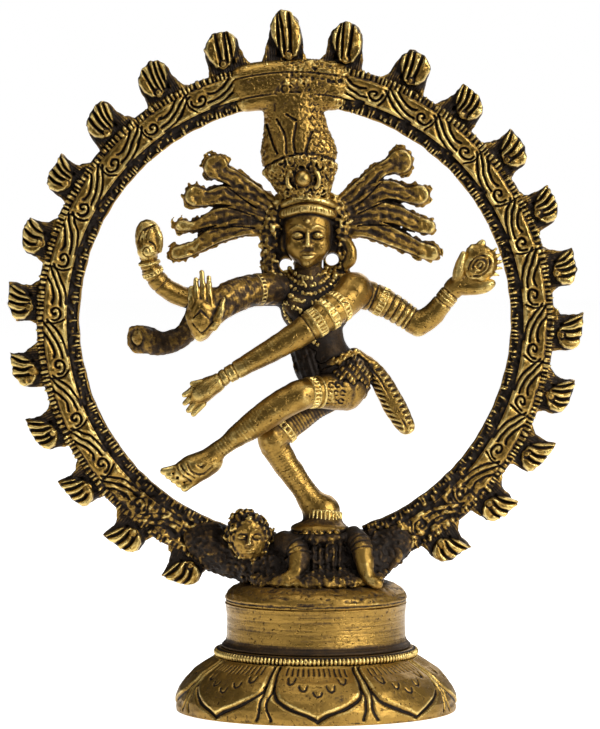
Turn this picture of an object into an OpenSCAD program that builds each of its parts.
// Four-armed dancer in a ring of flames on a lotus pedestal, cast in brass.
// Frame: origin under the middle of the ring, on the table. +Z up, front facing -Y, millimetres.

/* [Pedestal] */
// Radius of the lotus skirt at the table
skirt_r = 40; // [38:0.5:44]
// Height of the lotus skirt
skirt_h = 16; // [15:0.5:17]
// Radius of the plain drum
drum_r = 26; // [24:0.5:27]
// Height of the plain drum above its ledge
drum_h = 11.2; // [9:0.1:13]
// Height of the domed cap on the drum
cap_h = 5.6; // [5:0.1:7]
// Number of lotus petals round the skirt
petals = 8; // [6:1:12]
// Wall of the hollow castings
wall = 2.4; // [2:0.1:3]

/* [Ring of flames] */
// Radius of the opening in the ring
ring_in_r = 61.5; // [60:0.5:63]
// Radial width of the ring's band
ring_band = 12.3; // [11:0.1:13]
// Thickness of the ring from front to back
ring_t = 5; // [4:0.1:6]
// Height of the ring's centre above the table
ring_z = 111; // [110.5:0.1:111.5]
// How far a flame stands out of the ring
flame_h = 8.8; // [7:0.1:10]
// Width of a flame at its widest
flame_w = 8.6; // [7:0.1:9.6]

/* [Hidden] */

round_fn = 96;
limb_fn = 12;
seat = 0.05;                 // gap left where two castings meet
pedestal_x = 6;              // the pedestal stands a little to the right of the ring's middle

collar_z = skirt_h - 0.6;
collar_h = 2.6;
ledge_z = collar_z + collar_h;
drum_z = ledge_z + 1.6;
drum_top = drum_z + drum_h;
cap_top = drum_top + cap_h;
stud_r = 3;
stud_clear_r = stud_r + 0.3;
peg_r = 1.6;

ring_out_r = ring_in_r + ring_band;
ring_first = -72;            // the hoop's right end, inside the dwarf
ring_last = 252;             // its left end
crest_angle = 92;
right_step = 13.45;
left_step = 14;

// Each limb is a row of [x, y, z, radius] from the body outwards. Left and right are the dancer's own.
standing_leg_path = [[13, 1, 92, 5], [3, -1, 84.5, 4.9], [-6.3, -3, 77.5, 4.5], [-1.2, -2.5, 69.5, 4.2],
                     [4, -2, 62, 3.4], [6.5, -2, 58, 3.4]];
raised_leg_path = [[13.5, -3, 92, 5], [5, -9, 91, 4.9], [-4, -11, 87.5, 4.9], [-12, -12, 80.6, 4.3],
                   [-20, -12, 74.4, 3.3], [-25, -12, 71, 2.8]];
front_left_path = [[16, -2, 119.5, 4.6], [12.3, -7, 114.7, 4.6], [5, -10, 108.8, 4.1], [-8, -11.5, 101.3, 3.3],
                   [-21.2, -12, 93.8, 2.4]];
front_right_path = [[-6, -1.5, 119.5, 4.4], [-14, -6, 117.5, 4.8], [-21, -10, 112.8, 4.3], [-26, -12, 108, 3.4]];
rear_left_path = [[17, 2, 119.5, 4.2], [27, 3, 114.5, 3.9], [34.7, 2.5, 109, 3.4], [43.5, 1.5, 118, 2.9],
                  [46.5, 1, 122, 2.8]];
rear_right_path = [[-6, 2, 120, 4.2], [-20, 3.5, 118.6, 3.8], [-30, 3, 118, 3.4], [-35, 2, 120.3, 3.1],
                   [-41, 1, 127, 3]];
torso_path = [[12.6, 0, 93.5, 7.6], [8.2, 0, 103.5, 5.9], [6, -0.5, 113, 7.4], [4, 0, 120, 4.4]];
shoulders = [[-5.5, 0.3, 120, 5], [15.5, 0.3, 120, 5.2], [6, -0.5, 112, 7.4]];
neck = [[4, 0, 119, 3.7], [3.9, -0.2, 127, 3.6]];
sash_curl_path = [[-28.6, 1.5, 113, 3], [-30.8, 0, 107.3, 3.3], [-36, -1, 104.9, 3.4], [-44, -1, 105.6, 3.8]];
sash_tail_path = [[17, 3, 99, 3], [24, 3, 94, 3.5], [27.6, 3, 87.5, 3.5], [31.8, 3, 81.2, 2.6]];

head_at = [3.7, -1.5, 134.1];
crown_x = 1;
crown_z = 146.2;
crown_profile = [[0, 0], [7, 0], [9.4, 6.6], [10.9, 13], [9, 20.5], [8.4, 25], [8.4, 30], [0, 30]];
left_locks = [[31.7, 154.7], [37.8, 147.3], [40.3, 138.1], [41, 130.6]];
right_locks = [[-23.7, 152.7], [-30, 145], [-34.6, 138.1], [-35.2, 129.6]];
foot_top = 50.6;

module ball(j) translate([j[0], j[1], j[2]]) sphere(r = j[3], $fn = limb_fn);

module limb(path, last = 99) {
    for (i = [0 : min(last, len(path) - 1) - 1]) hull() { ball(path[i]); ball(path[i + 1]); }
}

// A round peg along the first length of a limb, from inside the body to inside the limb.
module peg(path, grow = 0) {
    a = path[0];
    b = path[1];
    run = [for (k = [0 : 2]) b[k] - a[k]];
    length = norm(run);
    translate([a[0], a[1], a[2]]) rotate([0, acos(run[2] / length), atan2(run[1], run[0])])
        translate([0, 0, -grow]) cylinder(r = peg_r + grow, h = length - 1, $fn = 24);
}

module on_pedestal() translate([pedestal_x, 0, 0]) children();

// Turns a shape made about the Z axis so that its axis runs front to back through the ring's centre.
module about_ring() translate([0, 0, ring_z]) rotate([90, 0, 0]) children();

// ---- pedestal ----
// How far the skirt has drawn in, and at what height, going up from the foot.
skirt_draw = [[0, 1.2], [1.2, 3.4], [2.8, 5.6], [5.2, 8.6], [7.8, 11.6], [9.6, 14]];
function skirt_outline(inset) = [for (d = skirt_draw) [skirt_r - d[0] - inset, d[1] - inset * 0.5]];

module skirt_shell() rotate_extrude($fn = round_fn) difference() {
    polygon(concat([[0, 0], [skirt_r, 0]], skirt_outline(0), [[skirt_r - 10, skirt_h], [0, skirt_h]]));
    polygon(concat([[-1, -1], [skirt_r - wall, -1]], skirt_outline(wall),
                   [[skirt_r - 10.4 - wall, skirt_h - wall], [-1, skirt_h - wall]]));
}

// A petal seen from the front, tip down, with a spear leaf at its side.
module petal_face() {
    polygon([[0, 1.2], [3, 2.2], [8.5, 4.2], [11.6, 7.4], [11.8, 10.5], [8.8, 14.8], [-8.8, 14.8],
             [-11.8, 10.5], [-11.6, 7.4], [-8.5, 4.2], [-3, 2.2]]);
}

module petal_row() intersection() {
    rotate_extrude($fn = round_fn)
        polygon(concat([[skirt_r - 1, 1.5]], skirt_outline(-0.7), [[skirt_r - 9.6, 15], [skirt_r - 11, 14]],
                       [for (i = [5 : -1 : 1]) skirt_outline(0.8)[i]]));
    for (i = [0 : petals - 1]) rotate([0, 0, i * 360 / petals]) rotate([90, 0, 0])
        linear_extrude(height = skirt_r + 5) petal_face();
}

module lotus_skirt() color("goldenrod") on_pedestal() difference() {
    union() { skirt_shell(); petal_row(); }
    translate([0, 0, -1]) cylinder(r = stud_clear_r, h = skirt_h + 2, $fn = 48);
    translate([0, 0, collar_z]) cylinder(r = 40, h = 5, $fn = round_fn);
}

module bead_collar() color("goldenrod") on_pedestal() rotate_extrude($fn = round_fn) union() {
    translate([22, collar_z + seat]) square([8.4, collar_h - 2 * seat]);
    translate([30.4, collar_z + collar_h / 2]) circle(r = collar_h / 2 - seat, $fn = 32);
}

module pedestal_drum() color("goldenrod") on_pedestal() rotate_extrude($fn = round_fn)
    polygon([[drum_r - wall, ledge_z], [28.6, ledge_z], [28.6, ledge_z + 0.9], [drum_r + 0.4, drum_z],
             [drum_r - 0.5, drum_z + drum_h * 0.4], [drum_r - 0.5, drum_z + drum_h * 0.65],
             [drum_r, drum_top], [drum_r - wall, drum_top]]);

module pedestal_cap() color("goldenrod") on_pedestal() rotate_extrude($fn = round_fn)
    polygon([[stud_clear_r, drum_top - 3], [drum_r - wall - 0.1, drum_top - 3],
             [drum_r - wall - 0.1, drum_top + seat], [drum_r - 0.3, drum_top + seat],
             [drum_r + 0.1, drum_top + 0.8], [drum_r - 0.4, drum_top + 2.4], [drum_r - 2, drum_top + 4.2],
             [drum_r - 4.6, cap_top], [stud_clear_r, cap_top]]);

// ---- fixings ----
washer_t = 1.6;
washer_z = skirt_h - wall - washer_t - 0.1;
nut_t = 5;
stud_low = washer_z - nut_t - 1.5;
stud_length = 36;

module fixing_stud() color("silver") on_pedestal()
    translate([0, 0, stud_low]) cylinder(r = stud_r, h = stud_length, $fn = 48);

module fixing_washer() color("silver") on_pedestal() translate([0, 0, washer_z]) difference() {
    cylinder(r = 9, h = washer_t, $fn = 64);
    translate([0, 0, -1]) cylinder(r = stud_r + 0.2, h = 4, $fn = 48);
}

module fixing_nut() color("silver") on_pedestal() translate([0, 0, washer_z - nut_t - seat]) difference() {
    cylinder(r = 5.8, h = nut_t, $fn = 6);
    translate([0, 0, -1]) cylinder(r = stud_r + 0.05, h = nut_t + 2, $fn = 48);
}

// ---- dwarf under the dancer's foot ----
dwarf_head_at = [-14.3, -5.5, 49.8];
dwarf_ridge = [[-15, 1, 43, 6.5], [-3, 0, 43, 8], [8, 0, 43, 8.4], [19, 0, 43, 7.4]];

module dwarf_mass() {
    translate([4, 0, cap_top + 0.05]) hull() {
        scale([1.2, 0.66, 1]) cylinder(r = 19, h = 1, $fn = 36);
        translate([0, 0, 11]) scale([1.15, 0.55, 1]) cylinder(r = 16, h = 1, $fn = 32);
    }
    intersection() {
        limb(dwarf_ridge);
        translate([-60, -60, cap_top + 0.1]) cube([120, 120, 60]);
    }
    hull() { ball([-17, -3, 46, 4]); ball([-22, 0, 42, 3.4]); ball([-12, -3, 43, 5]); }
    limb([[-4, -9, 47, 3.4], [1.8, -11, 43, 3.2], [-3.5, -12, 39.6, 2.2]]);
    limb([[16, -8, 48, 3.4], [18, -11, 43.5, 3.4], [23.5, -11.5, 39.2, 2.4]]);
    translate([8, -3, 42]) scale([1.25, 0.95, 1]) cylinder(r1 = 9.4, r2 = 6.6, h = foot_top - 42, $fn = 28);
}

module dwarf_skull() {
    translate(dwarf_head_at) sphere(r = 6.4, $fn = 28);
    translate(dwarf_head_at + [-0.6, -5, -0.8]) sphere(r = 2, $fn = 20);
    for (s = [-1, 1]) translate(dwarf_head_at + [s * 5.6, 0.6, -0.4]) sphere(r = 1.7, $fn = 20);
}

module ring_band_solid(grow) about_ring() difference() {
    cylinder(r = ring_out_r + grow, h = ring_t + 2 * grow, center = true, $fn = 120);
    cylinder(r = ring_in_r - grow, h = 20, center = true, $fn = 120);
    ring_gap(grow);
}

module dwarf_body() color("darkgoldenrod") difference() {
    dwarf_mass();
    ring_band_solid(seat);
    on_pedestal() translate([0, 0, 30]) cylinder(r = stud_r + 0.02, h = stud_low + stud_length - 30, $fn = 48);
    translate(dwarf_head_at) sphere(r = 6.45, $fn = 28);
    peg(standing_foot_peg, 0.05);
}

module dwarf_head() color("goldenrod") difference() {
    dwarf_skull();
    ring_band_solid(seat);
}

// ---- ring ----
// The wedge left open at the foot of the hoop.
module ring_gap(grow) linear_extrude(height = 40, center = true) polygon([[0, 0],
    for (a = [ring_last - 360 - grow, -90, ring_first + grow]) 130 * [cos(a), sin(a)]]);

module flame_ring() color("goldenrod") about_ring() difference() {
    rotate_extrude($fn = 180) polygon([
        [ring_in_r, -ring_t / 2 + 0.5], [ring_in_r + 0.5, -ring_t / 2], [ring_out_r - 0.5, -ring_t / 2],
        [ring_out_r, -ring_t / 2 + 0.5], [ring_out_r, ring_t / 2 - 0.5], [ring_out_r - 0.5, ring_t / 2],
        [ring_out_r - 2.2, ring_t / 2], [ring_out_r - 2.5, ring_t / 2 - 0.7],
        [ring_in_r + 4.4, ring_t / 2 - 0.7], [ring_in_r + 4, ring_t / 2], [ring_in_r + 2.4, ring_t / 2],
        [ring_in_r, ring_t / 2 - 1.6]]);
    ring_gap(0);
}

// A flame that points along +X from the ring's rim and leans to +Y, with three ridges on its front.
module flame(w, h, lean) translate([ring_out_r + seat, 0, 0]) union() {
    translate([0, 0, -2]) linear_extrude(height = 3.6) polygon([
        [0, -w * 0.34], [h * 0.25, -w * 0.36], [h * 0.5, -w * 0.5], [h * 0.7, -w * 0.44],
        [h * 0.84, -w * 0.2 + lean / 2], [h, lean], [h * 0.86, w * 0.24 + lean / 2], [h * 0.68, w * 0.45],
        [h * 0.5, w * 0.5], [h * 0.25, w * 0.36], [0, w * 0.34]]);
    translate([0, 0, 1.5]) linear_extrude(height = 0.9) {
        polygon([[h * 0.18, -0.5], [h * 0.6, -1.1], [h * 0.9, lean - 0.3], [h * 0.9, lean + 0.3],
                 [h * 0.6, 1.1], [h * 0.18, 0.5]]);
        for (s = [-1, 1]) polygon([[h * 0.2, s * w * 0.14], [h * 0.5, s * w * 0.22], [h * 0.8, s * w * 0.24],
                                   [h * 0.66, s * w * 0.38], [h * 0.48, s * w * 0.4]]);
    }
}

module ring_flames() color("gold") about_ring() {
    for (i = [1 : 11]) rotate([0, 0, crest_angle + i * left_step]) flame(flame_w, flame_h, -1.2);
    for (i = [1 : 11]) rotate([0, 0, crest_angle - i * right_step]) flame(flame_w, flame_h, 1.2);
}

module crest_flame() color("gold") about_ring() rotate([0, 0, crest_angle])
    translate([ring_out_r + seat, 0, 0]) union() {
        translate([0, 0, -2.2]) linear_extrude(height = 4) polygon([
            [0, -3.6], [4, -4], [8.5, -5.4], [12, -5.2], [14.6, -3.4], [15.2, 0], [14.6, 3.4],
            [12, 5.2], [8.5, 5.4], [4, 4], [0, 3.6]]);
        translate([0, 0, 1.7]) linear_extrude(height = 0.9) for (v = [-2.8, 0, 2.8])
            polygon([[4.4, v * 0.6 - 0.6], [13.6, v - 0.9], [14.2, v], [13.6, v + 0.9], [4.4, v * 0.6 + 0.6]]);
    }

// ---- dancer ----
standing_foot_peg = [[8.4, -3, 46.5, 1], [8.4, -3, 55, 1]];

module torso_solid() {
    limb(torso_path);
    hull() for (j = shoulders) ball(j);
    hull() { ball([12.6, 0, 93.5, 7.6]); ball([13.6, -1.5, 92, 7]); }
}

module torso() color("goldenrod") difference() {
    torso_solid();
    for (p = [standing_leg_path, raised_leg_path, front_left_path, front_right_path, rear_left_path,
              rear_right_path, sash_tail_path]) peg(p, 0.05);
    peg(neck, 0.05);
}

module cloth_shape() intersection() {
    hull() { ball([11, -0.5, 98, 8]); ball([13.4, -1, 92.5, 8.6]); ball([15.5, 1, 94, 6.6]); }
    translate([-20, -20, 88.4]) cube([60, 40, 11.2]);
}

module hip_cloth() color("darkgoldenrod") difference() {
    cloth_shape();
    torso_solid();
    limb(raised_leg_path, 2);
    limb(standing_leg_path, 1);
    limb(sash_tail_path, 2);
}

module foot_shape() {
    hull() { ball([6.5, -2, 58, 3.4]); ball([8.2, -1.6, 54.2, 3.6]); }
    intersection() {
        hull() {
            ball([8.2, -1.4, 54, 3.6]);
            for (s = [-1, 1]) ball([8.8 + s * 4.2, -8, 53, 2.6]);
            for (s = [-1, 1]) ball([9 + s * 5.2, -12.5, 52, 1.7]);
        }
        translate([-30, -30, foot_top + seat]) cube([60, 60, 20]);
    }
}

module standing_leg() color("goldenrod") {
    difference() {
        union() { limb(standing_leg_path); foot_shape(); }
        torso_solid();
        limb(raised_leg_path, 2);
    }
    peg(standing_leg_path);
    peg(standing_foot_peg);
}

module raised_leg() color("goldenrod") {
    difference() {
        limb(raised_leg_path);
        torso_solid();
    }
    peg(raised_leg_path);
    hull() { ball([-25, -12, 71, 2.8]); ball([-24.5, -11, 68.4, 2.6]); ball([-31, -12.6, 68, 2.8]); }
    hull() {
        ball([-30, -12.6, 68.4, 3]);
        ball([-36.6, -13.2, 68.4, 1.7]);
        ball([-33, -13.4, 64.2, 1.7]);
    }
}

module front_left_arm() color("goldenrod") {
    difference() {
        limb(front_left_path);
        torso_solid();
    }
    peg(front_left_path);
    hull() {
        ball([-21.6, -12, 93.5, 2.3]);
        ball([-30.4, -12.4, 88.6, 1.1]);
        ball([-28, -12.4, 85, 1.1]);
    }
}

module front_right_arm() color("goldenrod") {
    difference() {
        limb(front_right_path);
        torso_solid();
    }
    peg(front_right_path);
    hull() {
        ball([-26, -12.4, 108.2, 3.3]);
        for (s = [-1, 1]) ball([-25.6 + s * 2.4, -13, 115, 1.8]);
        ball([-26.3, -12.6, 122.2, 1.3]);
    }
}

module rear_left_arm() color("goldenrod") {
    difference() {
        union() {
            limb(rear_left_path);
            hull() { ball([46.5, 1, 122, 2.7]); ball([50, 0.4, 122.6, 2]); ball([49, 1.6, 126, 2.2]); }
        }
        torso_solid();
        limb(front_left_path, 2);
    }
    peg(rear_left_path);
}

module rear_right_arm() color("goldenrod") {
    difference() {
        union() {
            limb(rear_right_path);
            hull() { ball([-41, 1, 127, 3]); ball([-41.8, 1, 131, 2.8]); }
        }
        torso_solid();
        limb(front_right_path, 2);
    }
    peg(rear_right_path);
}

module skull() {
    translate(head_at) hull() {
        sphere(r = 7.1, $fn = 24);
        translate([0, 0, -4.4]) sphere(r = 4.4, $fn = 20);
        translate([-0.6, 1.5, 5.2]) sphere(r = 7, $fn = 24);
    }
    for (s = [-1, 1]) hull() {
        translate([3 + s * 7.8, 0.6, 141]) sphere(r = 1.8, $fn = limb_fn);
        translate([3.4 + s * 9.6, 0.6, 127.6]) sphere(r = 2, $fn = limb_fn);
    }
}

module head() color("goldenrod") {
    difference() {
        union() { skull(); limb(neck); }
        torso_solid();
        for (p = [front_left_path, front_right_path, rear_left_path, rear_right_path]) limb(p, 1);
        translate([-30, -30, crown_z]) cube([60, 60, 20]);
        left_hair();
        right_hair();
    }
    peg(neck);
}

module crown() color("gold") difference() {
    translate([crown_x, 0, crown_z + seat]) intersection() {
        rotate_extrude($fn = 64) polygon(crown_profile);
        translate([-20, -6.2, 0]) cube([40, 12.4, 40]);
    }
    about_ring() difference() {
        cylinder(r = 200, h = 40, center = true, $fn = 120);
        cylinder(r = ring_in_r - seat, h = 60, center = true, $fn = 120);
    }
}

// Four locks of hair that spread sideways from a root beside the head, cut from flat plate.
function lock_root(root_x, i) = [root_x, 142.4 - i * 2.6];
function lock_way(tips, root_x, i, t) = lock_root(root_x, i) * (1 - t) + tips[i] * t;

module hair_shape(tips, root_x) rotate([90, 0, 0]) linear_extrude(height = 3, center = true) union() {
    for (i = [0 : 3]) {
        run = tips[i] - lock_root(root_x, i);
        reach = norm(run);
        translate(lock_root(root_x, i)) rotate(atan2(run[1], run[0])) polygon([[0, -2.4], [reach * 0.6, -2.7],
            [reach - 1, -2], [reach, 0], [reach - 1, 1.8], [reach * 0.6, 2.4], [0, 2.4]]);
    }
    for (i = [0 : 2]) polygon([lock_root(root_x, i) + [0, 1], lock_way(tips, root_x, i, 0.6),
        lock_way(tips, root_x, i + 1, 0.6), lock_root(root_x, i + 1) - [0, 1]]);
}

function flipped(tips) = [for (t = tips) [-t[0], t[1]]];

module left_hair() translate([0, 1, 0]) mirror([1, 0, 0]) hair_shape(flipped(left_locks), -11.8);
module right_hair() translate([0, 1, 0]) hair_shape(right_locks, -5.6);

module hair_fan_left() color("darkgoldenrod") left_hair();
module hair_fan_right() color("darkgoldenrod") right_hair();

module sash_curl() color("darkgoldenrod") difference() {
    limb(sash_curl_path);
    limb(rear_right_path);
}

module sash_tail() color("darkgoldenrod") {
    difference() {
        limb(sash_tail_path);
        torso_solid();
    }
    peg(sash_tail_path);
}

module hand_drum() color("gold") difference() {
    translate([-42, 0.4, 135.4]) rotate([0, 8, 0]) union() {
        translate([0, 0, -seat]) cylinder(r1 = 2.6, r2 = 4.1, h = 4.6, $fn = 32);
        translate([0, 0, -4.6]) cylinder(r1 = 4.1, r2 = 2.6, h = 4.6, $fn = 32);
    }
    hull() { ball([-41, 1, 127, 3]); ball([-41.8, 1, 131, 2.8]); }
}

module hand_flame() color("gold") difference() {
    hull() {
        ball([49.6, -0.6, 125.4, 2.6]);
        ball([54.6, -0.6, 124.6, 2.6]);
        ball([53.4, -0.6, 130, 2.2]);
        ball([51.2, -0.6, 133.4, 1]);
    }
    hull() { ball([46.5, 1, 122, 2.7]); ball([50, 0.4, 122.6, 2]); ball([49, 1.6, 126, 2.2]); }
}

module necklace() color("gold") difference() {
    translate([5, -1.5, 117.5]) rotate([24, 0, 0]) rotate_extrude($fn = 32) translate([7.6, 0])
        circle(r = 1.5, $fn = 12);
    torso_solid();
    for (p = [front_left_path, front_right_path, rear_left_path, rear_right_path]) limb(p, 1);
    skull();
    limb(neck);
    translate([-40, 0, 90]) cube([80, 40, 60]);
}

// A band round a limb at a share t of the way from point i to the next.
module band(path, i, t, w, grow) {
    a = path[i];
    b = path[i + 1];
    at = [for (k = [0 : 3]) a[k] + (b[k] - a[k]) * t];
    run = [for (k = [0 : 2]) b[k] - a[k]];
    length = norm(run);
    difference() {
        translate([at[0], at[1], at[2]]) rotate([0, acos(run[2] / length), atan2(run[1], run[0])])
            cylinder(r = at[3] + grow, h = w, center = true, $fn = 24);
        limb([a, b]);
    }
}

module armlets() color("gold") {
    band(front_left_path, 1, 0.6, 3.6, 0.7);
    band(rear_left_path, 1, 0.4, 2, 0.6);
    band(rear_right_path, 1, 0.35, 2, 0.6);
}

module bangles() color("gold") {
    band(front_left_path, 3, 0.85, 1.6, 0.5);
    band(rear_left_path, 3, 0.4, 1.4, 0.5);
    band(rear_right_path, 3, 0.6, 2, 0.5);
}

module anklets() color("gold") {
    band(raised_leg_path, 2, 0.2, 2.6, 0.6);
    band(raised_leg_path, 4, 0.5, 1.6, 0.5);
    band(standing_leg_path, 3, 0.75, 1.8, 0.6);
}

lotus_skirt();
bead_collar();
pedestal_drum();
pedestal_cap();
fixing_stud();
fixing_washer();
fixing_nut();
dwarf_body();
dwarf_head();
flame_ring();
ring_flames();
crest_flame();
torso();
hip_cloth();
standing_leg();
raised_leg();
front_left_arm();
front_right_arm();
rear_left_arm();
rear_right_arm();
head();
crown();
hair_fan_left();
hair_fan_right();
sash_curl();
sash_tail();
hand_drum();
hand_flame();
necklace();
armlets();
bangles();
anklets();
